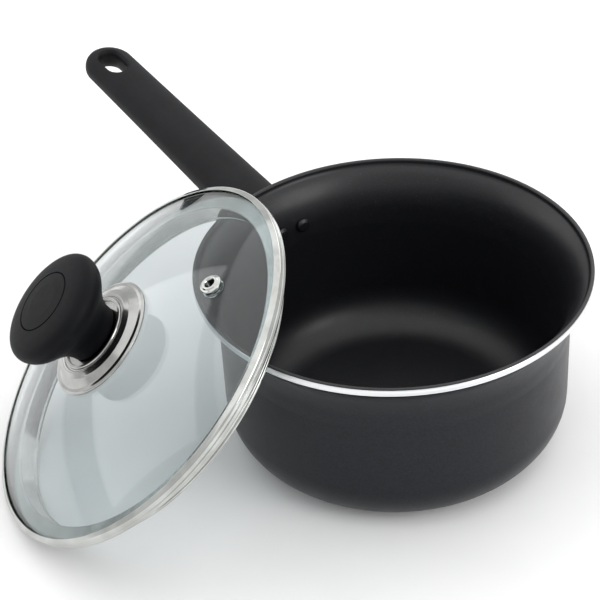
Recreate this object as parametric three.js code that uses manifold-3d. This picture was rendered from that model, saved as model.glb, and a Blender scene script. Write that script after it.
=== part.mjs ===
// Saucepan with a glass lid leaning on its rim.
// Millimetres, Z up, origin on the table under the centre of the pan, handle along -X.
import * as THREE from 'three';
import * as BufferGeometryUtils from 'three/addons/utils/BufferGeometryUtils.js';
import Module from 'manifold-3d';

const wasm = await Module();
wasm.setup();

// ---- pan ----
const PAN_HEIGHT = 96;
const RIM_RADIUS = 95;            // bare edge of the flared rim
const EDGE_HEIGHT = 4.3;           // height of that bare edge
const BASE_FLAT_RADIUS = 59;      // flat part of the base that rests on the table
const WALL_RADIUS = 84.7;         // outside of the straight wall
const COAT = 0.35;                // thickness drawn for each coating
const COAT_GAP = 0.1;             // gap between a coating and the metal
const METAL = 1.7;                // thickness of the pressed aluminium
const PAN_SEGMENTS = 40;

// ---- handle ----
const HANDLE_RISE = 9.9;          // degrees above level
const HANDLE_ROOT_X = -92;        // near end of the grip
const HANDLE_ROOT_Z = 67.1;        // middle of the grip at its near end
const GRIP_LENGTH = 177.5;
const GRIP_ROOT_WIDTH = 32;
const GRIP_TIP_WIDTH = 28;
const GRIP_THICKNESS = 19;
const GRIP_TIP_THICKNESS = 12.5;
const GRIP_ROUNDING = 6.5;
const HANG_HOLE_LENGTH = 19;
const HANG_HOLE_WIDTH = 11;
const HANG_HOLE_FROM_TIP = 17;    // tip of the grip to the middle of the hole
const TANG_WIDTH = 14;
const TANG_THICKNESS = 2.5;
const TANG_LENGTH = 40;
const HANDLE_SCREW_AT = 30;       // along the grip from its near end
const BRACKET_WIDTH = 25;
const BRACKET_SHEET = 2.2;
const RIVET_RADIUS = 2.4;
const RIVET_HEAD_RADIUS = 3.9;
const RIVET_SPACING = 14;
const RIVET_HEIGHT = 73.4;

// ---- lid, drawn flat with its axis up and its rim plane at zero ----
const LID_RADIUS = 95.8;
const BAND_SHEET = 0.6;           // stainless sheet of the rim band
const GLASS_RADIUS = 94.1;
const GLASS_THICKNESS = 3.2;
const CROWN = 24.1;               // top of the glass above the rim plane
const DOME_RADIUS = 208.4;        // radius of the outer face of the dome
const SKIRT_RADIUS = 84.7;
const SKIRT_DEPTH = 12.4;
const BEAD_RADIUS = 0.9;
const LID_SEGMENTS = 40;
const VENT_OUT = 64.3;            // lid axis to the steam vent
const VENT_ANGLE = 71.6;          // degrees round the lid, the top of the leaning lid is at 90
const VENT_RADIUS = 5.2;
const VENT_HOLE_RADIUS = 2.3;
const BEZEL_RADIUS = 29.9;
const BEZEL_RING_RADIUS = 18.4;
const KNOB_RADIUS = 28.3;
const BEZEL_SEAT = 22.5;          // lower edge of the bezel above the rim plane
const KNOB_FOOT = 27.3;
const KNOB_HEIGHT = 31.2;
const CAP_RADIUS = 15;
const FIT = 0.3;                  // gap left between pieces that touch

// ---- how the lid leans ----
const LEAN_AZIMUTH = 246;         // degrees round the pan from +X
const LEAN_SLOPE = 41.65;         // lid plane above the table
const LID_CENTRE_OUT = 126.6;     // pan axis to the middle of the lid's rim plane
const LID_FLOOR_GAP = 0.1;

const MATERIALS = {
  aluminium: { color: 0xd4d6d8, roughness: 0.3, metalness: 1.0 },
  nonstick: { color: 0x17181a, roughness: 0.55, metalness: 0.0 },
  charcoal: { color: 0x2b2e32, roughness: 0.42, metalness: 0.3 },
  phenolic: { color: 0x26272a, roughness: 0.62, metalness: 0.0 },
  blackSteel: { color: 0x232425, roughness: 0.5, metalness: 0.6 },
  steel: { color: 0xb9bbbd, roughness: 0.35, metalness: 1.0 },
  stainless: { color: 0xc9c8c4, roughness: 0.16, metalness: 1.0 },
  brass: { color: 0xb5934c, roughness: 0.35, metalness: 1.0 },
  silicone: { color: 0xd8d8d4, roughness: 0.7, metalness: 0.0 },
  glass: { color: 0xc5cfd1, roughness: 0.04, metalness: 0.0 },
};

const group = new THREE.Group();
group.name = 'saucepan_with_glass_lid';

const rad = (degrees) => degrees * Math.PI / 180;

function addMesh(name, geometry, materialName) {
  const look = MATERIALS[materialName];
  const material = new THREE.MeshStandardMaterial(look);
  if (materialName === 'glass') {
    material.transparent = true;
    material.opacity = 0.35;
  }
  const mesh = new THREE.Mesh(geometry, material);
  mesh.name = name;
  group.add(mesh);
  return mesh;
}

function toSolid(geometry) {
  const bare = geometry.clone();
  bare.deleteAttribute('normal');
  bare.deleteAttribute('uv');
  const merged = BufferGeometryUtils.mergeVertices(bare, 1e-4);
  return new wasm.Manifold(new wasm.Mesh({
    numProp: 3,
    vertProperties: new Float32Array(merged.attributes.position.array),
    triVerts: new Uint32Array(merged.index.array),
  }));
}

function toGeometry(solid) {
  const mesh = solid.getMesh();
  const geometry = new THREE.BufferGeometry();
  geometry.setAttribute('position', new THREE.BufferAttribute(new Float32Array(mesh.vertProperties), 3));
  geometry.setIndex(new THREE.BufferAttribute(new Uint32Array(mesh.triVerts), 1));
  geometry.computeVertexNormals();
  return geometry;
}

// A closed ring or solid of revolution about Z from [radius, height] points, counter-clockwise.
function turned(points, segments) {
  const closed = points.concat([points[0]]);
  const profile = closed.map(([radius, height]) => new THREE.Vector2(radius, height));
  const geometry = new THREE.LatheGeometry(profile, segments);
  geometry.rotateX(Math.PI / 2);
  return geometry;
}

// A solid of revolution whose profile starts and ends on the axis, listed from the bottom up.
function turnedSolid(points, segments) {
  const profile = points.map(([radius, height]) => new THREE.Vector2(radius, height));
  const geometry = new THREE.LatheGeometry(profile, segments);
  geometry.rotateX(Math.PI / 2);
  return geometry;
}

function rod(radius, bottom, top, segments) {
  return turnedSolid([[0, bottom], [radius, bottom], [radius, top], [0, top]], segments);
}

function ring(inner, outer, bottom, top, segments) {
  return turned([[inner, bottom], [outer, bottom], [outer, top], [inner, top]], segments);
}

function box(width, depth, height) {
  return new THREE.BoxGeometry(width, depth, height);
}

// ---- pan ----

// Outside line of the finished pan from the edge of the flat base up to the flared rim.
function outsideLine() {
  const line = [];
  const corner = WALL_RADIUS - BASE_FLAT_RADIUS;
  const steps = 4;
  for (let i = 0; i <= steps; i += 1) {
    const angle = (i / steps) * Math.PI / 2;
    line.push([BASE_FLAT_RADIUS + corner * Math.sin(angle), corner - corner * Math.cos(angle)]);
  }
  line.push([WALL_RADIUS, 64]);
  line.push([WALL_RADIUS + 1.1, 75]);
  line.push([WALL_RADIUS + 3.4, 83]);
  line.push([WALL_RADIUS + 6.6, 88.5]);
  line.push([RIM_RADIUS - 0.2, PAN_HEIGHT - EDGE_HEIGHT]);
  return line;
}

// The same line moved inwards, square to itself.
function movedIn(line, distance) {
  return line.map((point, i) => {
    const before = line[Math.max(i - 1, 0)];
    const after = line[Math.min(i + 1, line.length - 1)];
    const run = [after[0] - before[0], after[1] - before[1]];
    const size = Math.hypot(run[0], run[1]);
    const first = i === 0;
    const inward = first ? [0, 1] : [-run[1] / size, run[0] / size];
    return [point[0] + inward[0] * distance, point[1] + inward[1] * distance];
  });
}

function addPan() {
  const outside = outsideLine();
  const metalOutside = movedIn(outside, COAT + COAT_GAP);
  const metalInside = movedIn(outside, COAT + COAT_GAP + METAL);
  const liningOutside = movedIn(outside, COAT + METAL + 2 * COAT_GAP);
  const liningInside = movedIn(outside, 2 * COAT + METAL + 2 * COAT_GAP);
  const last = outside.length - 1;

  const metal = [[0, 0], [BASE_FLAT_RADIUS - 1.2, 0], [BASE_FLAT_RADIUS - 0.6, 0.45]];
  metal.push(...metalOutside.slice(1, last));
  metal.push([RIM_RADIUS - 0.55, PAN_HEIGHT - EDGE_HEIGHT + 0.28]);
  metal.push([RIM_RADIUS, PAN_HEIGHT - EDGE_HEIGHT + 0.6]);
  metal.push([RIM_RADIUS, PAN_HEIGHT - 0.9]);
  metal.push([RIM_RADIUS - 0.3, PAN_HEIGHT - 0.5]);
  metal.push([RIM_RADIUS - 1.5, PAN_HEIGHT - 0.5]);
  metal.push(...metalInside.slice(0, last).reverse());
  metal.push([0, metalInside[0][1]]);
  addMesh('pan_body', drilledForRivets(turnedSolid(metal, PAN_SEGMENTS)), 'aluminium');

  const lining = [[0, liningOutside[0][1]]];
  lining.push(...liningOutside.slice(0, last));
  lining.push([RIM_RADIUS - 1.62, PAN_HEIGHT - 0.38]);
  lining.push([RIM_RADIUS - 0.25, PAN_HEIGHT - 0.38]);
  lining.push([RIM_RADIUS - 0.35, PAN_HEIGHT - 0.1]);
  lining.push([RIM_RADIUS - 0.7, PAN_HEIGHT]);
  lining.push([RIM_RADIUS - 1.9, PAN_HEIGHT]);
  lining.push([RIM_RADIUS - 2.1, PAN_HEIGHT - 0.3]);
  lining.push(...liningInside.slice(0, last).reverse());
  lining.push([0, liningInside[0][1]]);
  addMesh('nonstick_lining', drilledForRivets(turnedSolid(lining, PAN_SEGMENTS)), 'nonstick');

  const coatInside = movedIn(outside, COAT);
  const coat = [];
  coat.push([BASE_FLAT_RADIUS + 0.6, 0.1]);
  coat.push(...outside.slice(1, last));
  coat.push([RIM_RADIUS - 1.0, PAN_HEIGHT - EDGE_HEIGHT - 0.8]);
  coat.push([RIM_RADIUS - 1.25, PAN_HEIGHT - EDGE_HEIGHT - 0.56]);
  coat.push(...coatInside.slice(1, last).reverse());
  coat.push([BASE_FLAT_RADIUS + 0.6, 0.4]);
  addMesh('exterior_coat', drilledForRivets(turned(coat, PAN_SEGMENTS)), 'charcoal');
}

// ---- handle ----

// Turns a piece drawn along +X from the origin into place along the rising handle.
function placeOnHandle(geometry) {
  geometry.rotateY(rad(-HANDLE_RISE));
  geometry.rotateZ(Math.PI);
  geometry.translate(HANDLE_ROOT_X, 0, HANDLE_ROOT_Z);
  return geometry;
}

function gripOutline() {
  const tip = GRIP_TIP_WIDTH / 2 - GRIP_ROUNDING;
  const root = GRIP_ROOT_WIDTH / 2 - GRIP_ROUNDING;
  const end = GRIP_LENGTH - GRIP_ROUNDING - tip;
  const outline = new THREE.Shape();
  outline.moveTo(GRIP_ROUNDING, -root);
  outline.lineTo(end, -tip);
  outline.absarc(end, 0, tip, -Math.PI / 2, Math.PI / 2, false);
  outline.lineTo(GRIP_ROUNDING, root);
  outline.closePath();
  return outline;
}

function hangHole(widerBy, bottom, top) {
  const half = (HANG_HOLE_LENGTH - HANG_HOLE_WIDTH) / 2;
  const radius = HANG_HOLE_WIDTH / 2 + widerBy;
  const centre = GRIP_LENGTH - HANG_HOLE_FROM_TIP;
  const outline = new THREE.Shape();
  outline.absarc(centre + half, 0, radius, -Math.PI / 2, Math.PI / 2, false);
  outline.absarc(centre - half, 0, radius, Math.PI / 2, 3 * Math.PI / 2, false);
  outline.closePath();
  const cut = new THREE.ExtrudeGeometry(outline, { depth: top - bottom, bevelEnabled: false, curveSegments: 10 });
  cut.translate(0, 0, bottom);
  return toSolid(cut);
}

function gripThickness(along) {
  return GRIP_THICKNESS + (GRIP_TIP_THICKNESS - GRIP_THICKNESS) * along / GRIP_LENGTH;
}

// Thins the grip towards its tip from below, so that its top stays straight.
function thinFromBelow(vertex) {
  const top = GRIP_THICKNESS / 2;
  vertex[2] = top - (top - vertex[2]) * gripThickness(vertex[0]) / GRIP_THICKNESS;
}

function addHandle() {
  const straight = GRIP_THICKNESS - 2 * GRIP_ROUNDING;
  const block = new THREE.ExtrudeGeometry(gripOutline(), {
    depth: straight,
    bevelEnabled: true,
    bevelThickness: GRIP_ROUNDING,
    bevelSize: GRIP_ROUNDING,
    bevelSegments: 4,
    curveSegments: 12,
  });
  block.translate(0, 0, -straight / 2);
  let grip = toSolid(block).warp(thinFromBelow);
  const underside = GRIP_THICKNESS / 2 - gripThickness(GRIP_LENGTH - HANG_HOLE_FROM_TIP);
  grip = grip.subtract(hangHole(0, -20, 20));
  grip = grip.subtract(hangHole(1.6, GRIP_THICKNESS / 2 - 1.5, 20));
  grip = grip.subtract(hangHole(2.2, -20, underside + 2.2));

  const socket = box(TANG_LENGTH + 2 * FIT, TANG_WIDTH + 2 * FIT, TANG_THICKNESS + 2 * FIT);
  socket.translate(TANG_LENGTH / 2 - 4.5, 0, 0);
  grip = grip.subtract(toSolid(socket));
  const screwHole = rod(2.5 + FIT, -12, 7.2, 20);
  screwHole.translate(HANDLE_SCREW_AT, 0, 0);
  grip = grip.subtract(toSolid(screwHole));
  const headPocket = rod(5.2, -12, -4.4, 20);
  headPocket.translate(HANDLE_SCREW_AT, 0, 0);
  grip = grip.subtract(toSolid(headPocket));
  const insertPocket = rod(4 + FIT, 1, 7.5, 20);
  insertPocket.translate(HANDLE_SCREW_AT, 0, 0);
  grip = grip.subtract(toSolid(insertPocket));
  addMesh('handle_grip', placeOnHandle(toGeometry(grip)), 'phenolic');

  const insert = ring(2.5 + FIT, 4, TANG_THICKNESS / 2 + 2 * FIT, 7.2, 20);
  insert.translate(HANDLE_SCREW_AT, 0, 0);
  addMesh('handle_insert', placeOnHandle(insert), 'brass');

  const screw = turnedSolid([[0, -8.4], [3.6, -8.4], [4.6, -7.6], [4.6, -5.8], [2.5, -5.8], [2.5, 6.6], [0, 6.6]], 20);
  screw.translate(HANDLE_SCREW_AT, 0, 0);
  addMesh('handle_screw', placeOnHandle(screw), 'steel');

  const washer = ring(2.5 + FIT, 4.7, -5.6, -4.6, 20);
  washer.translate(HANDLE_SCREW_AT, 0, 0);
  addMesh('handle_spring_washer', placeOnHandle(washer), 'steel');
}

// Pressed steel bracket: a foot that follows the wall and a tang into the grip.
function addBracket() {
  const wall = outsideLine().filter(([, height]) => height >= 60 && height < 85);
  const near = movedIn(wall, -FIT).slice(1);
  const far = movedIn(wall, -FIT - BRACKET_SHEET).slice(1);
  const sleeve = turned([[near[0][0], 56], [far[0][0], 56], ...far, ...near.reverse()], 90);
  const frame = box(40, BRACKET_WIDTH, 20);
  frame.translate(-WALL_RADIUS, 0, RIVET_HEIGHT - 4.4);
  let bracket = toSolid(sleeve).intersect(toSolid(frame));
  const tang = box(TANG_LENGTH, TANG_WIDTH, TANG_THICKNESS);
  tang.translate(TANG_LENGTH / 2 - 4.5, 0, 0);
  bracket = bracket.add(toSolid(placeOnHandle(tang)));
  const hole = rod(2.5 + FIT, -5, 5, 20);
  hole.translate(HANDLE_SCREW_AT, 0, 0);
  bracket = bracket.subtract(toSolid(placeOnHandle(hole)));
  addMesh('handle_bracket', drilledForRivets(toGeometry(bracket)), 'blackSteel');
}

// Places a piece drawn along +Z so that it points straight out of the wall at one rivet.
function placeAtRivet(geometry, side) {
  geometry.rotateY(Math.PI / 2);
  geometry.rotateZ(Math.PI + side * Math.asin(RIVET_SPACING / 2 / WALL_RADIUS));
  geometry.translate(0, 0, RIVET_HEIGHT);
  return geometry;
}

function drilledForRivets(geometry) {
  let solid = toSolid(geometry);
  for (const side of [-1, 1]) {
    solid = solid.subtract(toSolid(placeAtRivet(rod(RIVET_RADIUS + FIT, 70, 100, 16), side)));
  }
  return toGeometry(solid);
}

function addRivets() {
  const outside = WALL_RADIUS + 1.1;
  const inner = outside - 2 * COAT - 2 * COAT_GAP - METAL - 4 * FIT;
  const outer = outside + BRACKET_SHEET + 4 * FIT;
  const head = RIVET_HEAD_RADIUS;
  for (const side of [-1, 1]) {
    const rivet = turnedSolid([
      [0, inner - 1.7],
      [head * 0.5, inner - 1.5],
      [head * 0.88, inner - 0.8],
      [head, inner],
      [RIVET_RADIUS, inner],
      [RIVET_RADIUS, outer],
      [head, outer],
      [head * 0.88, outer + 0.8],
      [head * 0.5, outer + 1.5],
      [0, outer + 1.7],
    ], 16);
    addMesh(side < 0 ? 'handle_rivet_a' : 'handle_rivet_b', placeAtRivet(rivet, side), 'aluminium');
  }
}

// ---- lid ----

const lidPlace = new THREE.Matrix4();

function setLidPlace() {
  const slope = rad(LEAN_SLOPE);
  const azimuth = rad(LEAN_AZIMUTH);
  const outward = new THREE.Vector3(Math.cos(azimuth), Math.sin(azimuth), 0);
  const axis = outward.clone().multiplyScalar(Math.sin(slope)).setZ(Math.cos(slope));
  const uphill = outward.clone().multiplyScalar(-Math.cos(slope)).setZ(Math.sin(slope));
  const across = uphill.clone().cross(axis);
  lidPlace.makeBasis(across, uphill, axis);
  const centre = outward.clone().multiplyScalar(LID_CENTRE_OUT);
  centre.setZ(lowestReach() + LID_FLOOR_GAP);
  lidPlace.setPosition(centre);
}

// How far the leaning band reaches below the middle of the rim plane.
function lowestReach() {
  const slope = rad(LEAN_SLOPE);
  const reaches = bandSection().map(([radius, height]) => radius * Math.sin(slope) - height * Math.cos(slope));
  return Math.max(...reaches);
}

function addToLid(name, geometry, materialName) {
  geometry.applyMatrix4(lidPlace);
  return addMesh(name, geometry, materialName);
}

// Height of a sphere's surface, moved inwards from the outer face of the dome.
function domeHeight(radius, inwards) {
  const size = DOME_RADIUS - inwards;
  return CROWN - DOME_RADIUS + Math.sqrt(size * size - radius * radius);
}

function bandSection() {
  const skirtOut = SKIRT_RADIUS + BAND_SHEET / 2;
  const skirtIn = SKIRT_RADIUS - BAND_SHEET / 2;
  const bead = BEAD_RADIUS;
  const low = -SKIRT_DEPTH;
  return [
    [SKIRT_RADIUS, low],
    [SKIRT_RADIUS + bead, low + bead],
    [skirtOut, low + 2],
    [skirtOut, -2.8],
    [LID_RADIUS - 0.7, -2.8],
    [LID_RADIUS, -2.0],
    [LID_RADIUS, 1.5],
    [LID_RADIUS - 0.5, 2.3],
    [LID_RADIUS - 2.6, 3.15],
    [LID_RADIUS - 2.8, 2.6],
    [LID_RADIUS - 1.0, 1.7],
    [LID_RADIUS - 1.0, -2.2],
    [skirtIn, -2.2],
    [skirtIn, low + 2],
    [SKIRT_RADIUS - bead, low + bead],
  ];
}

// Moves a piece drawn at the crown round the dome to where the vent is.
function placeAtVent(geometry) {
  const centreHeight = CROWN - DOME_RADIUS;
  geometry.translate(0, 0, -centreHeight);
  geometry.rotateY(Math.asin(VENT_OUT / DOME_RADIUS));
  geometry.translate(0, 0, centreHeight);
  geometry.rotateZ(rad(VENT_ANGLE));
  return geometry;
}

function addGlass() {
  const steps = 7;
  const profile = [[0, domeHeight(0, GLASS_THICKNESS)]];
  for (let i = 1; i <= steps; i += 1) {
    const radius = GLASS_RADIUS * i / steps;
    profile.push([radius, domeHeight(radius, GLASS_THICKNESS)]);
  }
  for (let i = steps; i >= 1; i -= 1) {
    const radius = GLASS_RADIUS * i / steps;
    profile.push([radius, domeHeight(radius, 0)]);
  }
  profile.push([0, domeHeight(0, 0)]);
  let glass = toSolid(turnedSolid(profile, LID_SEGMENTS));
  glass = glass.subtract(toSolid(rod(4, 10, 40, 24)));
  glass = glass.subtract(toSolid(placeAtVent(rod(VENT_HOLE_RADIUS + 1.1, 10, 40, 24))));
  addToLid('lid_glass', toGeometry(glass), 'glass');
}

function addVent() {
  const top = CROWN + FIT;
  const under = CROWN - GLASS_THICKNESS - 1.7 * FIT;
  const tube = VENT_HOLE_RADIUS;
  const eyelet = turned([
    [tube, under - 2.0],
    [tube + 1.9, under - 2.0],
    [tube + 1.9, under - 1.4],
    [tube + 0.7, under - 1.2],
    [tube + 0.7, top],
    [VENT_RADIUS, top],
    [VENT_RADIUS, top + 0.5],
    [VENT_RADIUS - 0.8, top + 1.3],
    [tube + 1.1, top + 1.6],
    [tube + 0.2, top + 1.2],
    [tube, top + 0.6],
  ], 24);
  addToLid('vent_eyelet', placeAtVent(eyelet), 'stainless');
  const clinch = ring(tube + 1.0, VENT_RADIUS, under - 0.9, under, 24);
  addToLid('vent_washer', placeAtVent(clinch), 'stainless');
}

function addBezel() {
  const out = BEZEL_RADIUS;
  const rise = BEZEL_SEAT;
  const lip = BEZEL_RING_RADIUS;
  const bezel = turned([
    [out - 0.6, rise],
    [out, rise],
    [out + 0.1, rise + 0.7],
    [out - 0.6, rise + 1.4],
    [out - 2.4, rise + 1.8],
    [out - 6.4, rise + 4.5],
    [out - 8.7, rise + 5.3],
    [lip + 1.8, rise + 5.2],
    [lip + 1.2, rise + 4.6],
    [lip + 0.7, rise + 5.3],
    [lip + 0.1, rise + 6.1],
    [lip - 0.7, rise + 6.1],
    [lip - 1.2, rise + 5.4],
    [lip - 1.4, rise + 4.5],
    [3.2, rise + 4.5],
    [3.2, rise + 3.9],
    [lip + 1.2, rise + 3.9],
    [lip + 2.6, rise + 4.6],
    [out - 6.7, rise + 3.9],
    [out - 3.7, rise + 2.0],
    [out - 2.2, rise + 1.0],
    [out - 0.7, rise + 0.8],
  ], 30);
  addToLid('knob_bezel', bezel, 'stainless');
  const gasketLow = domeHeight(27, 0) + 0.2;
  addToLid('bezel_gasket', ring(27, 29, gasketLow, rise + 0.5, 30), 'silicone');
}

function addKnob() {
  const wide = KNOB_RADIUS;
  const foot = KNOB_FOOT;
  const grip = turnedSolid([
    [0, foot + 15.4],
    [4.6, foot + 15.4],
    [4.6, foot],
    [13.9, foot],
    [14.5, foot + 0.7],
    [14.6, foot + 3.4],
    [15.6, foot + 6.6],
    [17.6, foot + 9.8],
    [wide - 8.4, foot + 12.5],
    [wide - 5.4, foot + 15.6],
    [wide - 2.5, foot + 18.4],
    [wide - 0.8, foot + 21.0],
    [wide, foot + 23.6],
    [wide, foot + 25.6],
    [wide - 1.0, foot + 27.7],
    [wide - 3.3, foot + 29.4],
    [wide - 7.8, foot + 30.6],
    [CAP_RADIUS + FIT, foot + 31.0],
    [CAP_RADIUS + FIT, foot + 29.4],
    [0, foot + 29.4],
  ], 30);
  addToLid('knob_grip', grip, 'phenolic');
  const top = foot + KNOB_HEIGHT;
  const cap = turnedSolid([
    [0, foot + 29.7],
    [CAP_RADIUS, foot + 29.7],
    [CAP_RADIUS, top - 0.3],
    [CAP_RADIUS - 0.5, top],
    [CAP_RADIUS - 6, top + 0.4],
    [0, top + 0.6],
  ], 30);
  addToLid('knob_cap', cap, 'phenolic');
  addToLid('knob_insert', ring(2.7, 4.3, foot + 0.3, foot + 15.1, 20), 'brass');
}

// Screw, cup washer and rubber washer that clamp the knob from under the glass.
function addKnobScrew() {
  const under = CROWN - GLASS_THICKNESS;
  const rubberLow = under - 2 * FIT - 1.2;
  const steelLow = rubberLow - FIT - 1.1;
  const headTop = steelLow - FIT;
  addToLid('knob_rubber_washer', ring(2.8, 8.6, rubberLow, rubberLow + 1.2, 28), 'silicone');
  addToLid('knob_steel_washer', ring(2.8, 8.0, steelLow, steelLow + 1.1, 28), 'steel');
  const screw = turnedSolid([
    [0, headTop - 2.8],
    [3.2, headTop - 2.8],
    [4.6, headTop - 1.8],
    [4.6, headTop],
    [2.4, headTop],
    [2.4, KNOB_FOOT + 11],
    [0, KNOB_FOOT + 11],
  ], 20);
  const slot = box(12, 1.2, 1.2);
  slot.translate(0, 0, headTop - 2.6);
  const cut = toSolid(screw).subtract(toSolid(slot));
  addToLid('knob_screw', toGeometry(cut), 'steel');
}

addPan();
addBracket();
addRivets();
addHandle();
setLidPlace();
addGlass();
addToLid('lid_rim_band', turned(bandSection(), LID_SEGMENTS), 'stainless');
addVent();
addBezel();
addKnob();
addKnobScrew();

export default group;
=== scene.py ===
from math import asin, cos, hypot, pi, radians, sin, sqrt, tan

import bmesh
import bpy
from mathutils import Matrix, Vector


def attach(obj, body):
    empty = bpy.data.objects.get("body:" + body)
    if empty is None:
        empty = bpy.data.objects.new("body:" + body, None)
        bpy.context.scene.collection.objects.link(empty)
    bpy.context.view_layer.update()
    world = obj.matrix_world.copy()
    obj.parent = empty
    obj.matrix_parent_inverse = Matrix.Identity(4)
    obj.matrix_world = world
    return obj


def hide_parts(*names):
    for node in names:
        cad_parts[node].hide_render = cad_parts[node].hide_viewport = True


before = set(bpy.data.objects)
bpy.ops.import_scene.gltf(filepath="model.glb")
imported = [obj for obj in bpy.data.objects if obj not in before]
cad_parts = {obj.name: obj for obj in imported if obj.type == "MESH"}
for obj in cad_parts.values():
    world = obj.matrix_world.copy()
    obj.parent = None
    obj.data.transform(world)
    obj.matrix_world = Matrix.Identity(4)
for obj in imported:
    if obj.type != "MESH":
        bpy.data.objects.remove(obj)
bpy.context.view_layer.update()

MM = 0.001

# ---- sizes of the saucepan, in millimetres ----
PAN_HEIGHT = 96
RIM_RADIUS = 95
EDGE_HEIGHT = 4.3
BASE_FLAT_RADIUS = 59
WALL_RADIUS = 84.7
COAT = 0.35
COAT_GAP = 0.1
METAL = 1.7

HANDLE_RISE = radians(9.9)
HANDLE_ROOT = (-92, 0, 67.1)
GRIP_LENGTH = 177.5
GRIP_ROOT_WIDTH = 32
GRIP_TIP_WIDTH = 28
GRIP_THICKNESS = 19
GRIP_TIP_THICKNESS = 12.5
HANG_HOLE_LENGTH = 19
HANG_HOLE_WIDTH = 11
HANG_HOLE_FROM_TIP = 17
HANDLE_SCREW_AT = 30
RIVET_SPACING = 14
RIVET_HEIGHT = 73.4
BRACKET_SHEET = 2.2

LID_RADIUS = 95.8
SKIRT_RADIUS = 84.7
SKIRT_DEPTH = 12.4
BAND_SHEET = 0.6
GLASS_RADIUS = 94.1
GLASS_THICKNESS = 3.2
CROWN = 24.1
DOME_RADIUS = 208.4
VENT_OUT = 64.3
VENT_ANGLE = radians(71.6)
VENT_RADIUS = 5.2
VENT_HOLE_RADIUS = 2.3
BEZEL_RADIUS = 29.9
BEZEL_SEAT = 22.5
BEZEL_RING_RADIUS = 18.4
KNOB_RADIUS = 28.3
KNOB_FOOT = 27.3
KNOB_HEIGHT = 31.2
CAP_RADIUS = 15
FIT = 0.3

LEAN_AZIMUTH = radians(246)
LEAN_SLOPE = radians(41.65)
LID_CENTRE_OUT = 126.6
LID_FLOOR_GAP = 0.1

ROUND = 128                      # facets round the large turned pieces
SMALL_ROUND = 72                 # facets round the small turned pieces
SHARP_ANGLE = radians(35)        # an edge sharper than this stays crisp after a cut

# ---- studio, in metres and watts ----
FLOOR_REACH = 6.0
LOOK_AT = (0, -0.03, 0.06)
WORLD_LIGHT = 0.8
SOFTBOXES = (
    ('overhead', (3.0, 3.0), 16, (-0.1, 0.1, 1.6)),
    ('left_wall', (1.6, 1.0), 4.5, (-1.3, -0.9, 0.8)),
    ('right_wall', (0.9, 1.0), 9, (1.4, 0.5, 0.8)),
    ('back_wall', (1.4, 0.6), 4, (-0.6, 1.4, 0.9)),
)
SENSOR_WIDTH = 36
LENS_LENGTH = 108
NEAR_LIMIT = 0.02
CAMERA_AT = (0.5475, -0.4355, 0.5905)
CAMERA_HEADING = radians(55.2)
CAMERA_TILT = radians(36.28)
CAMERA_LEAN = radians(-3.63)


# ---- placing ----

def lid_place():
    """The matrix that takes the lid, drawn flat in metres, to where it leans."""
    outward = Vector((cos(LEAN_AZIMUTH), sin(LEAN_AZIMUTH), 0))
    axis = outward * sin(LEAN_SLOPE) + Vector((0, 0, cos(LEAN_SLOPE)))
    uphill = outward * -cos(LEAN_SLOPE) + Vector((0, 0, sin(LEAN_SLOPE)))
    across = uphill.cross(axis)
    lowest = max(r * sin(LEAN_SLOPE) - h * cos(LEAN_SLOPE)
                 for r, h in ((SKIRT_RADIUS, -SKIRT_DEPTH), (LID_RADIUS - 0.7, -2.8)))
    centre = outward * LID_CENTRE_OUT + Vector((0, 0, lowest + LID_FLOOR_GAP))
    place = Matrix((across, uphill, axis)).transposed().to_4x4()
    place.translation = centre * MM
    return place


def handle_place():
    """The matrix that takes the grip, drawn along +X in metres, to the rising handle."""
    turn = Matrix.Rotation(pi, 4, 'Z') @ Matrix.Rotation(-HANDLE_RISE, 4, 'Y')
    return Matrix.Translation(Vector(HANDLE_ROOT) * MM) @ turn


def vent_place():
    """From the crown of the glass round the dome to the vent, inside the lid."""
    centre = Vector((0, 0, CROWN - DOME_RADIUS)) * MM
    tip = Matrix.Rotation(asin(VENT_OUT / DOME_RADIUS), 4, 'Y')
    swing = Matrix.Rotation(VENT_ANGLE, 4, 'Z')
    return swing @ Matrix.Translation(centre) @ tip @ Matrix.Translation(-centre)


def rivet_place(side):
    around = pi + side * asin(RIVET_SPACING / 2 / WALL_RADIUS)
    lift = Matrix.Translation(Vector((0, 0, RIVET_HEIGHT)) * MM)
    return lift @ Matrix.Rotation(around, 4, 'Z') @ Matrix.Rotation(pi / 2, 4, 'Y')


LID = lid_place()
HANDLE = handle_place()
NOWHERE = Matrix.Identity(4)


# ---- materials ----

def shade(hex_colour):
    """sRGB hex to the linear colour that the shader wants."""
    value = hex_colour.lstrip('#')
    channels = [int(value[i:i + 2], 16) / 255 for i in (0, 2, 4)]
    linear = [c / 12.92 if c <= 0.04045 else ((c + 0.055) / 1.055) ** 2.4 for c in channels]
    return (*linear, 1.0)


def per_mm(size):
    """Texture scale that gives features about this many millimetres across."""
    return 1 / (size * MM)


def add(tree, kind, inputs=None, stops=(), **settings):
    """Adds one node and returns its outputs. An input given as a socket is linked, and anything else
    is set. Stops are (place, hex) pairs."""
    made = tree.nodes.new(kind)
    for name, value in settings.items():
        setattr(made, name, value)
    for key, value in (inputs or {}).items():
        if isinstance(value, bpy.types.NodeSocket):
            tree.links.new(value, made.inputs[key])
        else:
            made.inputs[key].default_value = value
    for element, (place, colour) in zip(made.color_ramp.elements if stops else (), stops):
        element.position = place
        element.color = shade(colour)
    return made.outputs


def new_finish(name, **sockets):
    """An empty material with one Principled shader; sockets are set on the shader itself."""
    finish = bpy.data.materials.new(name)
    finish.use_nodes = True
    tree = finish.node_tree
    shader = tree.nodes['Principled BSDF']
    for key, value in sockets.items():
        shader.inputs[key.replace('_', ' ')].default_value = value
    return finish, tree, shader


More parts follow.
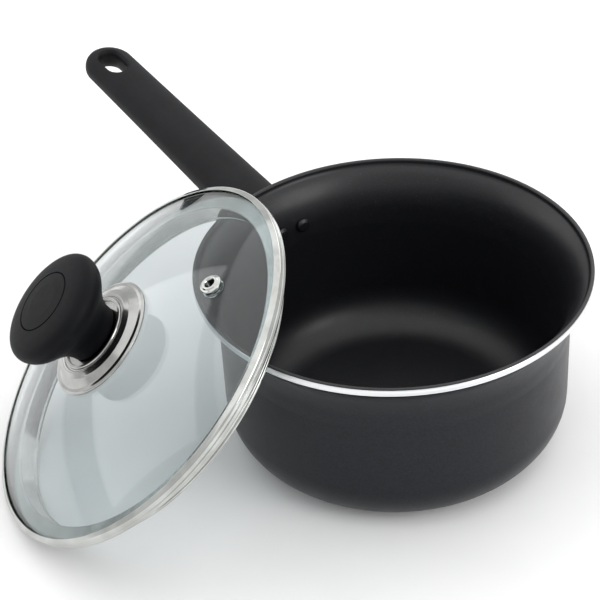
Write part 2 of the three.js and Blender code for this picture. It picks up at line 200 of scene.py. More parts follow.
def link(tree, shader, colour, roughness, normal):
    tree.links.new(colour, shader.inputs['Base Color'])
    tree.links.new(roughness, shader.inputs['Roughness'])
    tree.links.new(normal, shader.inputs['Normal'])


def turned_round(tree, stretch, place=NOWHERE):
    """Coordinates that change across a turned piece and hardly round it, for lathe and polishing lines."""
    whole = add(tree, 'ShaderNodeTexCoord')['Object']
    own = {'Vector': whole, 'Location': place.to_translation(), 'Rotation': place.to_euler()}
    where = add(tree, 'ShaderNodeMapping', own, vector_type='TEXTURE')['Vector']
    split = add(tree, 'ShaderNodeSeparateXYZ', {'Vector': where})
    flat = add(tree, 'ShaderNodeCombineXYZ', {'X': split['X'], 'Y': split['Y']})['Vector']
    out = add(tree, 'ShaderNodeVectorMath', {0: flat}, operation='LENGTH')['Value']
    angle = add(tree, 'ShaderNodeMath', {0: split['Y'], 1: split['X']}, operation='ARCTAN2')['Value']
    slow = add(tree, 'ShaderNodeMath', {0: angle, 1: stretch}, operation='MULTIPLY')['Value']
    return add(tree, 'ShaderNodeCombineXYZ', {'X': out, 'Y': slow, 'Z': split['Z']})['Vector']


def charcoal_enamel():
    """Sprayed silicone-polyester enamel with metal flake: satin, a fine glitter, faint orange peel."""
    finish, tree, shader = new_finish('charcoal_enamel', Metallic=0.2, Coat_Weight=0.08,
                                      Coat_Roughness=0.25, Specular_IOR_Level=0.28)
    where = add(tree, 'ShaderNodeTexCoord')['Object']
    # real flake is about 0.05 mm, drawn coarse enough to show
    flake = add(tree, 'ShaderNodeTexVoronoi', {'Vector': where, 'Scale': per_mm(0.7)})['Color']
    glitter = add(tree, 'ShaderNodeSeparateColor', {'Color': flake})['Red']
    colour = add(tree, 'ShaderNodeValToRGB', {'Fac': glitter}, ((0, '#0a0c11'), (1, '#171a21')))['Color']
    cloud = add(tree, 'ShaderNodeTexNoise', {'Vector': where, 'Scale': per_mm(9), 'Detail': 3})['Fac']
    rough = add(tree, 'ShaderNodeMapRange', {'Value': cloud, 'To Min': 0.34, 'To Max': 0.46})['Result']
    peel = add(tree, 'ShaderNodeTexNoise', {'Vector': where, 'Scale': per_mm(2.2), 'Detail': 1})['Fac']
    skin = add(tree, 'ShaderNodeBump', {'Height': peel, 'Distance': 0.03 * MM, 'Strength': 0.5})['Normal']
    bump = add(tree, 'ShaderNodeBump', {
        'Height': glitter, 'Distance': 0.01 * MM, 'Strength': 0.5, 'Normal': skin})
    link(tree, shader, colour, rough, bump['Normal'])
    return finish


def ptfe_spray():
    """Sprayed PTFE non-stick: near black, low sheen, with fine pale specks and a pebbled skin."""
    finish, tree, shader = new_finish('ptfe_spray', Coat_Weight=0.2, Coat_Roughness=0.3, IOR=1.42)
    where = add(tree, 'ShaderNodeTexCoord')['Object']
    # drawn coarser than the real 0.2 mm specks
    specks = add(tree, 'ShaderNodeTexNoise', {'Vector': where, 'Scale': per_mm(0.8), 'Roughness': 0.7})['Fac']
    colour = add(tree, 'ShaderNodeValToRGB', {'Fac': specks}, ((0.58, '#0d0e13'), (0.84, '#393733')))['Color']
    cloud = add(tree, 'ShaderNodeTexNoise', {'Vector': where, 'Scale': per_mm(6), 'Detail': 3})['Fac']
    rough = add(tree, 'ShaderNodeMapRange', {'Value': cloud, 'To Min': 0.34, 'To Max': 0.5})['Result']
    pebble = add(tree, 'ShaderNodeTexNoise', {'Vector': where, 'Scale': per_mm(0.9), 'Detail': 3})['Fac']
    bump = add(tree, 'ShaderNodeBump', {'Height': pebble, 'Distance': 0.05 * MM, 'Strength': 0.5})
    link(tree, shader, colour, rough, bump['Normal'])
    return finish


def turned_metal(name, colours, roughness, line, depth):
    """Metal turned on a lathe: bright, with fine lines. They run round the axis of the pan."""
    finish, tree, shader = new_finish(name, Metallic=1.0)
    lines = add(tree, 'ShaderNodeTexNoise', {
        'Vector': turned_round(tree, 0.002), 'Scale': per_mm(line), 'Detail': 3})['Fac']
    stops = ((0.35, colours[0]), (0.65, colours[1]))
    colour = add(tree, 'ShaderNodeValToRGB', {'Fac': lines}, stops)['Color']
    rough = add(tree, 'ShaderNodeMapRange', {'Value': lines, 'To Min': roughness[0], 'To Max': roughness[1]})
    bump = add(tree, 'ShaderNodeBump', {'Height': lines, 'Distance': depth * MM, 'Strength': 0.6})
    link(tree, shader, colour, rough['Result'], bump['Normal'])
    return finish


def moulded_phenolic(name, colours, roughness, sheen):
    """Moulded phenolic with a soft matt skin: black, even, with a fine eroded texture from the mould."""
    finish, tree, shader = new_finish(name, Specular_IOR_Level=sheen)
    where = add(tree, 'ShaderNodeTexCoord')['Object']
    cloud = add(tree, 'ShaderNodeTexNoise', {'Vector': where, 'Scale': per_mm(14), 'Detail': 4})['Fac']
    stops = ((0.35, colours[0]), (0.65, colours[1]))
    colour = add(tree, 'ShaderNodeValToRGB', {'Fac': cloud}, stops)['Color']
    patches = add(tree, 'ShaderNodeTexNoise', {'Vector': where, 'Scale': per_mm(3), 'Detail': 4})['Fac']
    rough = add(tree, 'ShaderNodeMapRange', {
        'Value': patches, 'To Min': roughness[0], 'To Max': roughness[1]})
    # the mould's 0.3 mm texture, drawn coarse enough to show
    skin = add(tree, 'ShaderNodeTexNoise', {'Vector': where, 'Scale': per_mm(0.8), 'Detail': 3})['Fac']
    bump = add(tree, 'ShaderNodeBump', {'Height': skin, 'Distance': 0.035 * MM, 'Strength': 0.45})
    link(tree, shader, colour, rough['Result'], bump['Normal'])
    return finish


def polished_stainless(name, tones, roughness):
    """Pressed stainless buffed on a wheel: a near mirror with faint lines and smears round it."""
    finish, tree, shader = new_finish(name, Metallic=1.0)
    where = add(tree, 'ShaderNodeTexCoord')['Object']
    lines = add(tree, 'ShaderNodeTexNoise', {
        'Vector': turned_round(tree, 0.0015, LID), 'Scale': per_mm(0.5), 'Detail': 3})['Fac']
    smears = add(tree, 'ShaderNodeTexNoise', {'Vector': where, 'Scale': per_mm(11), 'Detail': 3})['Fac']
    colour = add(tree, 'ShaderNodeValToRGB', {'Fac': smears}, ((0.35, tones[0]), (0.65, tones[1])))['Color']
    wipe = add(tree, 'ShaderNodeMath', {0: lines, 1: smears}, operation='MULTIPLY')['Value']
    rough = add(tree, 'ShaderNodeMapRange', {'Value': wipe, 'To Min': roughness[0], 'To Max': roughness[1]})
    bump = add(tree, 'ShaderNodeBump', {'Height': lines, 'Distance': 0.006 * MM, 'Strength': 0.35})
    link(tree, shader, colour, rough['Result'], bump['Normal'])
    return finish


def tempered_glass():
    """Toughened soda-lime glass, pressed to a dome: faintly green, with a hint of waviness, and a tint darker
    than clear glass that is painted shade dimming what is seen through it.
    """
    finish, tree, shader = new_finish('tempered_glass', IOR=1.52, Transmission_Weight=1.0)
    where = add(tree, 'ShaderNodeTexCoord')['Object']
    wave = add(tree, 'ShaderNodeTexNoise', {'Vector': where, 'Scale': per_mm(45), 'Detail': 1})['Fac']
    # the tint is partly the glass's faint green and partly painted shade: it darkens the floor seen through
    # the lid, standing in for the shade below it
    colour = add(tree, 'ShaderNodeValToRGB', {'Fac': wave}, ((0.35, '#d8e0e2'), (0.65, '#dde4e5')))['Color']
    # soft patches are only just duller than the clean glass
    rough = add(tree, 'ShaderNodeMapRange', {'Value': wave, 'To Min': 0.0, 'To Max': 0.004})['Result']
    bump = add(tree, 'ShaderNodeBump', {'Height': wave, 'Distance': 0.08 * MM, 'Strength': 0.4})['Normal']
    link(tree, shader, colour, rough, bump)
    # lamps reach what is behind the glass
    clear = add(tree, 'ShaderNodeBsdfTransparent', {'Color': shade('#f2f4f4')})['BSDF']
    path = add(tree, 'ShaderNodeLightPath')['Is Shadow Ray']
    mixed = add(tree, 'ShaderNodeMixShader', {0: path, 1: shader.outputs['BSDF'], 2: clear})['Shader']
    tree.links.new(mixed, tree.nodes['Material Output'].inputs['Surface'])
    return finish


def mottled(name, tones, roughness, size, depth, **sockets):
    """A plain skin, such as zinc plate, dipped paint, silicone or paper, with the mottle of its process."""
    finish, tree, shader = new_finish(name, **sockets)
    where = add(tree, 'ShaderNodeTexCoord')['Object']
    mottle = add(tree, 'ShaderNodeTexNoise', {'Vector': where, 'Scale': per_mm(size), 'Detail': 3})['Fac']
    colour = add(tree, 'ShaderNodeValToRGB', {'Fac': mottle}, ((0.35, tones[0]), (0.65, tones[1])))['Color']
    rough = add(tree, 'ShaderNodeMapRange', {'Value': mottle, 'To Min': roughness[0], 'To Max': roughness[1]})
    bump = add(tree, 'ShaderNodeBump', {'Height': mottle, 'Distance': depth * MM, 'Strength': 0.5})
    link(tree, shader, colour, rough['Result'], bump['Normal'])
    return finish


ENAMEL = charcoal_enamel()
PTFE = ptfe_spray()
ALUMINIUM = turned_metal('turned_aluminium', ('#dcdee0', '#eeeff0'), (0.24, 0.4), 0.9, 0.03)
PHENOLIC = moulded_phenolic('moulded_phenolic', ('#06070a', '#0c0d11'), (0.5, 0.64), 0.22)
KNOB_PHENOLIC = moulded_phenolic('moulded_phenolic_knob', ('#050609', '#0a0b0f'), (0.48, 0.6), 0.13)
CAP_PHENOLIC = moulded_phenolic('moulded_phenolic_cap', ('#07080b', '#0d0e12'), (0.44, 0.56), 0.1)
STAINLESS = polished_stainless('polished_stainless', ('#b2b3b0', '#c6c8c5'), (0.05, 0.28))
SATIN_STAINLESS = polished_stainless('satin_stainless', ('#a3a3a1', '#b5b5b3'), (0.12, 0.3))
GLASS = tempered_glass()
# pale grey zinc plate, slightly mottled
ZINC = mottled('zinc_plated_steel', ('#aeb1b4', '#c8cacc'), (0.24, 0.42), 1.6, 0.01, Metallic=1.0)
BRASS = turned_metal('turned_brass', ('#a5853f', '#c7a75e'), (0.25, 0.42), 0.8, 0.02)
# steel dipped in black paint: semi-gloss, slightly textured, worn
COATED_STEEL = mottled('coated_steel', ('#17181a', '#26272a'), (0.36, 0.55), 1.5, 0.03, Metallic=0.2, IOR=1.5)
# milky, soft, slightly dusty silicone seals
SILICONE = mottled('moulded_silicone', ('#cfcfcb', '#e2e2de'), (0.45, 0.65), 1.2, 0.02, IOR=1.41,
                   Subsurface_Weight=0.3, Subsurface_Scale=0.002)


# ---- making shapes ----

def eased(corners, steps=5, closed=True):
    """Rounds each corner (radius, height, rounding) of a section and returns (radius, height) points."""
    count = len(corners)
    points = []
    for i, (x, y, rounding) in enumerate(corners):
        ends = not closed and i in (0, count - 1)
        if rounding <= 0 or ends:
            points.append((x, y))
            continue
        here = Vector((x, y))
        before = Vector(corners[i - 1][:2]) - here
        after = Vector(corners[(i + 1) % count][:2]) - here
        half = before.angle(after) / 2
        reach = min(rounding / tan(half), before.length * 0.49, after.length * 0.49)
        radius = reach * tan(half)
        start = here + before.normalized() * reach
        end = here + after.normalized() * reach
        middle = here + (before.normalized() + after.normalized()).normalized() * hypot(radius, reach)
        sweep = (start - middle).angle_signed(end - middle)
        for step in range(steps + 1):
            arm = start - middle
            arm.rotate(Matrix.Rotation(-sweep * step / steps, 2))
            points.append(tuple(middle + arm))
    return points


def as_object(name, verts, faces, finish, place, body, replaced):
    """Makes one piece of the saucepan from points in millimetres and hands it to its body."""
    mesh = bpy.data.meshes.new(name)
    mesh.from_pydata([(x * MM, y * MM, z * MM) for x, y, z in verts], [], faces)
    mesh.transform(place)
    shape = bmesh.new()
    shape.from_mesh(mesh)
    bmesh.ops.remove_doubles(shape, verts=shape.verts, dist=1e-7)
    bmesh.ops.recalc_face_normals(shape, faces=shape.faces)
    shape.to_mesh(mesh)
    shape.free()
    mesh.shade_smooth()
    mesh.materials.append(finish)
    piece = bpy.data.objects.new(name, mesh)
    bpy.context.scene.collection.objects.link(piece)
    if body:
        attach(piece, body)
        if replaced:
            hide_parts(*replaced)
    return piece


def even_shading(piece):
    """Keeps flat faces flat beside rounded corners."""
    weigh = piece.modifiers.new('even_shading', 'WEIGHTED_NORMAL')
    weigh.keep_sharp = True
    weigh.weight = 80


def turned(name, section, finish, place=NOWHERE, body=None, replaced=(), rounds=ROUND,
           closed=True):
    """A piece of revolution about its own Z from a section of (radius, height) points in millimetres."""
    verts = []
    faces = []
    rows = len(section)
    for step in range(rounds):
        angle = 2 * pi * step / rounds
        for radius, height in section:
            verts.append((radius * cos(angle), radius * sin(angle), height))
    last = rows if closed else rows - 1
    for step in range(rounds):
        near = step * rows
        far = (step + 1) % rounds * rows
        for row in range(last):
            after = (row + 1) % rows
            corners = [near + row, far + row, far + after, near + after]
            if section[row][0] == 0:
                corners = [near + row, far + after, near + after]
            elif section[after][0] == 0:
                corners = [near + row, far + row, near + after]
            faces.append(corners)
    piece = as_object(name, verts, faces, finish, place, body, replaced)
    even_shading(piece)
    return piece


def apply_modifiers(piece):
    """Turns a piece's modifiers into its mesh."""
    with bpy.context.temp_override(object=piece, active_object=piece, selected_objects=[piece]):
        for modifier in list(piece.modifiers):
            bpy.ops.object.modifier_apply(modifier=modifier.name)


def cut(piece, *tools):
    """Cuts the tools out of a piece and removes them."""
    for modifier in list(piece.modifiers):
        piece.modifiers.remove(modifier)
    for tool in tools:
        bore = piece.modifiers.new('bore', 'BOOLEAN')
        bore.operation = 'DIFFERENCE'
        bore.solver = 'EXACT'
        bore.object = tool
    bpy.context.view_layer.update()
    apply_modifiers(piece)
    for tool in tools:
        bpy.data.objects.remove(tool)
    piece.data.set_sharp_from_angle(angle=SHARP_ANGLE)
    even_shading(piece)


# ---- pan ----

def through(points, steps):
    """A smooth line through the points."""
    padded = [points[0]] + points + [points[-1]]
    line = []
    for i in range(1, len(padded) - 2):
        a, b, c, d = (Vector(p) for p in padded[i - 1:i + 3])
        for step in range(steps):
            t = step / steps
            line.append(tuple(0.5 * ((2 * b) + (c - a) * t + (2 * a - 5 * b + 4 * c - d) * t * t
                                     + (3 * b - a - 3 * c + d) * t * t * t)))
    line.append(tuple(points[-1]))
    return line


def outside_line():
    """Outside of the pan from the edge of the flat base to the flared rim."""
    corner = WALL_RADIUS - BASE_FLAT_RADIUS
    line = []
    steps = 14
    for i in range(steps + 1):
        angle = i / steps * pi / 2
        line.append((BASE_FLAT_RADIUS + corner * sin(angle), corner - corner * cos(angle)))
    line.append((WALL_RADIUS, 46))
    flare = [(0, 64), (0.32, 68), (1.1, 75), (3.4, 83), (6.6, 88.5)]
    flare.append((RIM_RADIUS - 0.2 - WALL_RADIUS, PAN_HEIGHT - EDGE_HEIGHT))
    line += through([(WALL_RADIUS + out, height) for out, height in flare], 4)
    return line


def moved_in(line, distance):
    """The same line moved inwards, square to itself."""
    moved = []
    for i, point in enumerate(line):
        before = line[max(i - 1, 0)]
        after = line[min(i + 1, len(line) - 1)]
        run = (after[0] - before[0], after[1] - before[1])
        size = hypot(*run)
        inward = (0, 1) if i == 0 else (-run[1] / size, run[0] / size)
        moved.append((point[0] + inward[0] * distance, point[1] + inward[1] * distance))
    return moved


def make_pan():
    outside = outside_line()
    metal_out = moved_in(outside, COAT + COAT_GAP)
    metal_in = moved_in(outside, COAT + COAT_GAP + METAL)
    lining_out = moved_in(outside, COAT + METAL + 2 * COAT_GAP)
    lining_in = moved_in(outside, 2 * COAT + METAL + 2 * COAT_GAP)
    coat_in = moved_in(outside, COAT)
    edge_low = PAN_HEIGHT - EDGE_HEIGHT

    base = [(0, 0), (8, 0), (8.6, 0.25), (20, 0.25), (20.6, 0), (BASE_FLAT_RADIUS - 7, 0)]
    base += [(BASE_FLAT_RADIUS - 6.5, 0.2), (BASE_FLAT_RADIUS - 4.5, 0.2), (BASE_FLAT_RADIUS - 4, 0)]
    base += [(BASE_FLAT_RADIUS - 1.2, 0), (BASE_FLAT_RADIUS - 0.6, 0.45)]
    edge = eased([
        (RIM_RADIUS - 0.55, edge_low + 0.28, 0),
        (RIM_RADIUS, edge_low + 0.7, 0.3),
        (RIM_RADIUS, PAN_HEIGHT - 0.5, 0.5),
        (RIM_RADIUS - 1.55, PAN_HEIGHT - 0.5, 0.1),
        (RIM_RADIUS - 1.6, PAN_HEIGHT - 1.2, 0),
    ], 4, False)
    inner_last = [p for p in metal_in[:-1] if p[1] < PAN_HEIGHT - 2.6]
    metal = base + metal_out[1:-1] + edge + inner_last[::-1] + [(0, metal_in[0][1])]
    turned('pan_shell', metal, ALUMINIUM, NOWHERE, 'pan', ('pan_body',), closed=False)

    keep_out = [p for p in lining_out[:-1] if p[1] < PAN_HEIGHT - 2.6]
    keep_in = [p for p in lining_in[:-1] if p[1] < PAN_HEIGHT - 2.6]
    lip = eased([
        (RIM_RADIUS - 1.68, PAN_HEIGHT - 1.6, 0),
        (RIM_RADIUS - 1.66, PAN_HEIGHT - 0.4, 0.1),
        (RIM_RADIUS - 0.12, PAN_HEIGHT - 0.4, 0.05),
        (RIM_RADIUS - 0.2, PAN_HEIGHT, 0.35),
        (RIM_RADIUS - 2.0, PAN_HEIGHT, 0.8),
        (RIM_RADIUS - 2.25, PAN_HEIGHT - 1.6, 0),
    ], 4, False)
    lining = [(0, lining_out[0][1])] + keep_out + lip + keep_in[::-1] + [(0, lining_in[0][1])]
    turned('pan_lining', lining, PTFE, NOWHERE, 'pan', ('nonstick_lining',), closed=False)

    coat = [(BASE_FLAT_RADIUS + 0.6, 0.1)] + outside[1:-1]
    coat += [(RIM_RADIUS - 1.0, edge_low - 0.8), (RIM_RADIUS - 1.25, edge_low - 0.56)]
    coat += coat_in[1:-1][::-1] + [(BASE_FLAT_RADIUS + 0.6, 0.4)]
    turned('pan_outer_coat', coat, ENAMEL, NOWHERE, 'pan', ('exterior_coat',))


def make_rivets():
    outside = WALL_RADIUS + 1.1
    inner = outside - 2 * COAT - 2 * COAT_GAP - METAL - 4 * FIT
    outer = outside + BRACKET_SHEET + 4 * FIT
    section = eased([
        (0, inner - 1.7, 0), (2.4, inner - 1.6, 2), (3.7, inner - 0.7, 0.8), (3.9, inner, 0.2),
        (2.4, inner, 0), (2.4, outer, 0), (3.9, outer, 0.2), (3.7, outer + 0.7, 0.8),
        (2.4, outer + 1.6, 2), (0, outer + 1.7, 0),
    ], 4, False)
    for side, name in ((-1, 'a'), (1, 'b')):
        rivet = turned('rivet_' + name, section, ALUMINIUM, rivet_place(side), 'pan',
                       ('handle_rivet_' + name,), 40, False)
        rivet.data.materials.append(PTFE)
        for face in rivet.data.polygons:
            face.material_index = 1 if hypot(*face.center.xy) < (inner + 0.05) * MM else 0


# ---- handle ----

def squircle(width, thickness, count, power=2.7):
    """Points round a section that is rounder than a box and squarer than an ellipse."""
    points = []
    for i in range(count):
        angle = 2 * pi * i / count
        c, s = cos(angle), sin(angle)
        across = abs(c) ** (2 / power) * (1 if c >= 0 else -1) * width / 2
        up = abs(s) ** (2 / power) * (1 if s >= 0 else -1) * thickness / 2
        points.append((across, up))
    return points


def loft(name, rings, finish, place, body=None, replaced=()):
    """A closed skin over rings of points, with a fan at each end."""
    count = len(rings[0])
    verts = [point for ring in rings for point in ring]
    faces = []
    for row in range(len(rings) - 1):
        for i in range(count):
            after = (i + 1) % count
            near, far = row * count, (row + 1) * count
            faces.append([near + i, near + after, far + after, far + i])
    for ring_at, start in ((0, 0), (-1, (len(rings) - 1) * count)):
        middle = sum((Vector(p) for p in rings[ring_at]), Vector()) / count
        verts.append(tuple(middle))
        for i in range(count):
            faces.append([start + i, start + (i + 1) % count, len(verts) - 1])
    return as_object(name, verts, faces, finish, place, body, replaced)


def grip_thickness(along):
    return GRIP_THICKNESS + (GRIP_TIP_THICKNESS - GRIP_THICKNESS) * along / GRIP_LENGTH


def grip_rings():
    """Sections of the grip from flat root to round tip; it thins from below, so its top stays straight."""
    tip_radius = GRIP_TIP_WIDTH / 2
    straight = GRIP_LENGTH - tip_radius
    sizes = []
    stations = [(0, 0.80), (0.15, 0.86), (0.6, 0.93), (1.4, 0.975), (2.6, 1.0)]
    stations += [(2.6 + (straight - 2.6) * i / 34, 1.0) for i in range(1, 35)]
    for along, inset in stations:
        width = GRIP_ROOT_WIDTH + (GRIP_TIP_WIDTH - GRIP_ROOT_WIDTH) * along / straight
        waist = 1 - 0.02 * sin(pi * along / straight)
        sizes.append((along, width * inset * waist, grip_thickness(along) * inset))
    steps = 18
    for i in range(1, steps + 1):
        angle = i / steps * pi / 2 * 0.985
        along = straight + tip_radius * sin(angle)
        thickness = grip_thickness(along) * max(cos(angle), 0.02) ** 0.45
        sizes.append((along, GRIP_TIP_WIDTH * cos(angle), thickness))
    rings = []
    for along, width, thickness in sizes:
        middle = (GRIP_THICKNESS - grip_thickness(along)) / 2
        rings.append([(along, across, middle + up) for across, up in squircle(width, thickness, 64)])
    return rings


def hole_tool(name, place):
    """The hanging hole: straight sides that open out at both faces."""
    half = (HANG_HOLE_LENGTH - HANG_HOLE_WIDTH) / 2
    centre = GRIP_LENGTH - HANG_HOLE_FROM_TIP
    top = GRIP_THICKNESS / 2
    low = top - grip_thickness(centre)
    rings = []
    flares = ((low - 6, 7.4), (low - 0.2, 2.6), (low + 0.9, 1.6), (low + 2.6, 0.6), (low + 4.2, 0.1),
              (low + 5.5, 0), (top - 3.6, 0), (top - 2.4, 0.2), (top - 1.3, 0.8), (top - 0.5, 1.8),
              (top + 0.1, 3.2), (top + 4, 9.0))
    for height, wider in flares:
        radius = HANG_HOLE_WIDTH / 2 + wider
        ring = []
        for i in range(48):
            angle = 2 * pi * (i + 0.5) / 48
            shift = half if cos(angle) >= 0 else -half
            ring.append((centre + shift + radius * cos(angle), radius * sin(angle), height))
        rings.append(ring)
    return loft(name, rings, PHENOLIC, place)


def make_handle():
    grip = loft('grip', grip_rings(), PHENOLIC, HANDLE, 'pan', ('handle_grip',))
    screw_line = [(0, -14), (5.2, -14), (5.2, -4.4), (2.8, -4.4), (2.8, 7), (0, 7)]
    at_screw = HANDLE @ Matrix.Translation(Vector((HANDLE_SCREW_AT * MM, 0, 0)))
    pocket = turned('pocket_tool', screw_line, PHENOLIC, at_screw, rounds=40, closed=False)
    blade = ((-7.3, -1.55), (7.3, -1.55), (7.3, 1.55), (-7.3, 1.55))
    socket = loft('socket_tool', [[(x, y, z) for y, z in blade] for x in (-6, 35.8)], PHENOLIC, HANDLE)
    cut(grip, hole_tool('hole_tool', HANDLE), pocket, socket)


# ---- lid ----

def dome_height(radius, inwards):
    size = DOME_RADIUS - inwards
    return CROWN - DOME_RADIUS + sqrt(size * size - radius * radius)


def make_glass():
    radii = [4 + (GLASS_RADIUS - 4.5) * i / 24 for i in range(25)]
    under = [(r, dome_height(r, GLASS_THICKNESS)) for r in radii]
    over = [(r, dome_height(r, 0)) for r in radii]
    edge = eased([(*under[-1], 0), (GLASS_RADIUS, dome_height(GLASS_RADIUS, GLASS_THICKNESS) - 0.05, 0.5),
                  (GLASS_RADIUS, dome_height(GLASS_RADIUS, 0) - 0.1, 0.5), (*over[-1], 0)], 3, False)
    section = under[:-1] + edge + over[:-1][::-1]
    glass = turned('glass_dome', section, GLASS, LID, 'lid', ('lid_glass',))
    wide = VENT_HOLE_RADIUS + 1.1
    bore = turned('vent_bore_tool', [(0, 10), (wide, 10), (wide, 40), (0, 40)], GLASS, LID @ vent_place(),
                  rounds=40, closed=False)
    cut(glass, bore)


def make_band():
    skirt_out = SKIRT_RADIUS + BAND_SHEET / 2
    skirt_in = SKIRT_RADIUS - BAND_SHEET / 2
    low = -SKIRT_DEPTH
    section = eased([
        (SKIRT_RADIUS, low + 0.1, 0.7),
        (SKIRT_RADIUS + 0.8, low + 0.5, 0.6),
        (SKIRT_RADIUS + 0.9, low + 1.5, 0.6),
        (skirt_out, low + 2.1, 0.5),
        (skirt_out, -2.8, 1.1),
        (LID_RADIUS - 0.1, -2.8, 1.2),
        (LID_RADIUS - 0.05, -0.8, 0.1),
        (LID_RADIUS - 0.35, -0.4, 0.1),
        (LID_RADIUS, 0.0, 0.1),
        (LID_RADIUS, 2.0, 1.4),
        (LID_RADIUS - 2.5, 3.25, 0.2),
        (LID_RADIUS - 2.8, 2.65, 0.2),
        (LID_RADIUS - 1.0, 1.8, 0.6),
        (LID_RADIUS - 1.0, -2.2, 0.3),
        (skirt_in, -2.2, 0.8),
        (skirt_in, low + 2.1, 0.5),
        (SKIRT_RADIUS - 0.9, low + 1.5, 0.6),
        (SKIRT_RADIUS - 0.9, low + 0.3, 0.6),
    ], 6)
    turned('rim_band', section, STAINLESS, LID, 'lid', ('lid_rim_band',), 160)


def make_vent():
    top = CROWN + FIT
    under = CROWN - GLASS_THICKNESS - 1.7 * FIT
    tube = VENT_HOLE_RADIUS
    eyelet = eased([
        (tube, under - 2.0, 0.2), (tube + 1.9, under - 2.0, 0.25), (tube + 1.9, under - 1.4, 0.2),
        (tube + 0.7, under - 1.2, 0.2), (tube + 0.7, top, 0.1), (VENT_RADIUS, top, 0.2),
        (VENT_RADIUS, top + 0.7, 0.4), (VENT_RADIUS - 1.0, top + 1.0, 0.2),
        (VENT_RADIUS - 1.5, top + 1.6, 0.4),
        (tube + 0.4, top + 1.6, 0.4), (tube, top + 0.8, 0.4),
    ], 4)
    turned('vent_tube', eyelet, STAINLESS, LID @ vent_place(), 'lid', ('vent_eyelet',),
           SMALL_ROUND)
    washer = eased([(tube + 1.0, under - 0.9, 0.1), (VENT_RADIUS, under - 0.9, 0.3),
                    (VENT_RADIUS, under, 0.1), (tube + 1.0, under, 0.1)], 3)
    turned('vent_clinch_washer', washer, STAINLESS, LID @ vent_place(), 'lid',
           ('vent_washer',), SMALL_ROUND)


def make_bezel():
    out = BEZEL_RADIUS
    rise = BEZEL_SEAT
    lip = BEZEL_RING_RADIUS
    section = eased([
        (out - 0.6, rise, 0.1), (out, rise, 0.2), (out + 0.1, rise + 1.0, 0.4), (out - 0.9, rise + 1.6, 0.5),
        (out - 2.5, rise + 1.8, 1.2), (out - 6.0, rise + 4.5, 2.4), (out - 8.7, rise + 5.4, 1.4),
        (lip + 1.8, rise + 5.3, 0.5), (lip + 1.3, rise + 4.7, 0.3), (lip + 0.8, rise + 4.9, 0.2),
        (lip + 0.5, rise + 6.1, 0.5), (lip - 0.9, rise + 6.1, 0.6), (lip - 1.4, rise + 4.5, 0.5),
        (3.2, rise + 4.5, 0.1), (3.2, rise + 3.9, 0.1), (lip - 0.6, rise + 3.9, 0.3),
        (lip - 0.1, rise + 4.3, 0.2),
        (lip + 1.4, rise + 4.1, 0.2), (lip + 2.3, rise + 4.6, 0.4), (out - 8.8, rise + 4.7, 1.0),
        (out - 6.4, rise + 3.9, 2.0), (out - 2.8, rise + 1.1, 1.0), (out - 0.7, rise + 0.9, 0.2),
    ], 5)
    turned('bezel', section, SATIN_STAINLESS, LID, 'lid', ('knob_bezel',), 112)


def make_knob():
    wide = KNOB_RADIUS
    foot = KNOB_FOOT
    outline = through([
        (14.3, foot + 0.9), (14.6, foot + 3.4), (15.6, foot + 6.6), (17.6, foot + 9.8),
        (wide - 8.4, foot + 12.5),
        (wide - 5.4, foot + 15.6), (wide - 2.5, foot + 18.4), (wide - 0.8, foot + 21.0), (wide, foot + 23.6),
        (wide - 0.1, foot + 25.6), (wide - 1.1, foot + 27.6), (wide - 3.6, foot + 29.3),
        (wide - 7.8, foot + 30.5),
        (CAP_RADIUS + 1.2, foot + 31.1)], 5)
    section = [(0, foot + 15.4), (4.6, foot + 15.4), (4.6, foot), (13.4, foot), (13.9, foot + 0.3)]
    section += outline
    section += [(CAP_RADIUS + 0.7, foot + 31.2), (CAP_RADIUS + 0.45, foot + 31.05),
                (CAP_RADIUS + 0.35, foot + 30.7), (CAP_RADIUS + 0.35, foot + 29.4), (0, foot + 29.4)]
    turned('knob', section, KNOB_PHENOLIC, LID, 'knob', ('knob_grip',), 112, False)
    top = foot + KNOB_HEIGHT
    cap = [(0, foot + 29.7), (CAP_RADIUS, foot + 29.7)]
    cap += eased([(CAP_RADIUS, foot + 30.2, 0), (CAP_RADIUS, top + 0.05, 0.45),
                  (CAP_RADIUS - 6, top + 0.45, 12), (0, top + 0.6, 0)], 5, False)
    turned('knob_disc', cap, CAP_PHENOLIC, LID, 'knob', ('knob_cap',), 96, False)


def make_knob_fixings():
    under = CROWN - GLASS_THICKNESS
    rubber_low = under - 2 * FIT - 1.2
    steel_low = rubber_low - FIT - 1.1
    head_top = steel_low - FIT
    for name, inner, outer, low, thick, finish, slot in (
            ('rubber_washer', 2.8, 8.6, rubber_low, 1.2, SILICONE, 'clear_silicone'),
            ('steel_washer', 2.8, 8.0, steel_low, 1.1, ZINC, 'zinc_steel')):
        section = eased([(inner, low, 0.2), (outer, low, 0.3), (outer, low + thick, 0.3),
                         (inner, low + thick, 0.2)], 3)
        turned(name, section, finish, LID, 'lid', ('knob_' + name,), SMALL_ROUND)
    screw = eased([(0, head_top - 2.9, 0), (2.6, head_top - 2.8, 1.5), (4.6, head_top - 1.6, 1.2),
                   (4.6, head_top, 0.2), (2.4, head_top, 0), (2.4, KNOB_FOOT + 11, 0.4),
                   (0, KNOB_FOOT + 11, 0)], 4, False)
    head = turned('knob_screw_head', screw, ZINC, LID, 'lid', ('knob_screw',), 56, False)
    tools = []
    for turn in (0, pi / 2):
        bar = [[(x, y, z) for x, y in ((-2.6, -0.45), (2.6, -0.45), (2.6, 0.45), (-2.6, 0.45))]
               for z in (head_top - 3.4, head_top - 1.5)]
        tools.append(loft('cross_tool', bar, ZINC, LID @ Matrix.Rotation(turn, 4, 'Z')))
    cut(head, *tools)


def finish_cad_node(node, finish):
    """Gives a CAD node that stays in view its real material."""
    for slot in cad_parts[node].material_slots:
        slot.link = 'OBJECT'
        slot.material = finish


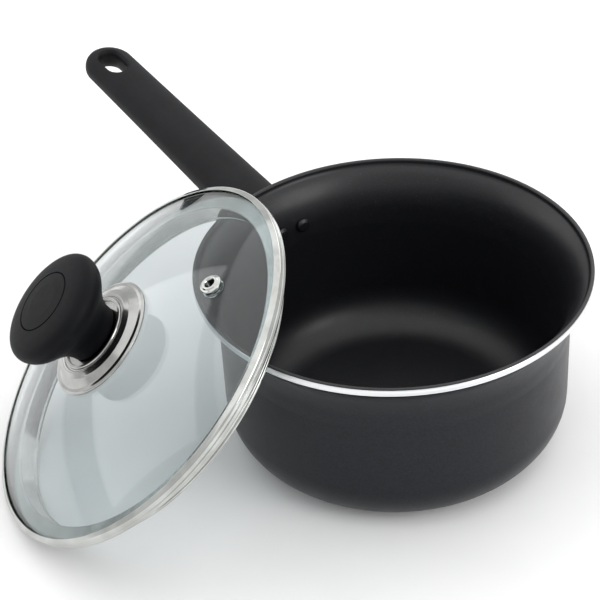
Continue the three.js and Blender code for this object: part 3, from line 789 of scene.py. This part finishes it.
make_pan()
make_rivets()
make_handle()
make_glass()
make_band()
make_vent()
make_bezel()
make_knob()
make_knob_fixings()
finish_cad_node('handle_bracket', COATED_STEEL)
finish_cad_node('handle_insert', BRASS)
finish_cad_node('knob_insert', BRASS)
finish_cad_node('handle_screw', ZINC)
finish_cad_node('handle_spring_washer', ZINC)
finish_cad_node('bezel_gasket', SILICONE)


# ---- studio ----

def make_floor():
    """A wide flat pale sheet."""
    paper = mottled('pale_paper', ('#f6f6f6', '#f9f9f9'), (0.85, 0.95), 60, 0.1)
    mesh = bpy.data.meshes.new('floor')
    far = FLOOR_REACH
    corners = [(-far, -far, 0), (far, -far, 0), (far, far, 0), (-far, far, 0)]
    mesh.from_pydata(corners, [], [[0, 1, 2, 3]])
    mesh.materials.append(paper)
    floor = bpy.data.objects.new('floor', mesh)
    bpy.context.scene.collection.objects.link(floor)


def add_softbox(name, size, power, where):
    lamp = bpy.data.lights.new(name, 'AREA')
    lamp.shape = 'RECTANGLE'
    lamp.size, lamp.size_y = size
    lamp.energy = power
    box = bpy.data.objects.new(name, lamp)
    box.location = where
    box.rotation_euler = (Vector(LOOK_AT) - Vector(where)).to_track_quat('-Z', 'Y').to_euler()
    bpy.context.scene.collection.objects.link(box)


def make_studio():
    make_floor()
    for softbox in SOFTBOXES:
        add_softbox(*softbox)
    world = bpy.data.worlds.new('studio')
    world.use_nodes = True
    sky = world.node_tree.nodes['Background']
    sky.inputs['Color'].default_value = (1, 1, 1, 1)
    sky.inputs['Strength'].default_value = WORLD_LIGHT
    bpy.context.scene.world = world


def make_camera():
    """A long lens from above the front, as one looks down at a hob."""
    lens = bpy.data.cameras.new('camera')
    lens.sensor_width = SENSOR_WIDTH
    lens.lens = LENS_LENGTH
    lens.clip_start = NEAR_LIMIT
    camera = bpy.data.objects.new('camera', lens)
    turn = Matrix.Rotation(CAMERA_HEADING, 4, 'Z')
    turn @= Matrix.Rotation(pi / 2 - CAMERA_TILT, 4, 'X')
    turn @= Matrix.Rotation(CAMERA_LEAN, 4, 'Z')
    camera.matrix_world = Matrix.Translation(CAMERA_AT) @ turn
    bpy.context.scene.collection.objects.link(camera)
    bpy.context.scene.camera = camera


make_studio()
make_camera()
bpy.context.scene.view_settings.view_transform = 'Standard'
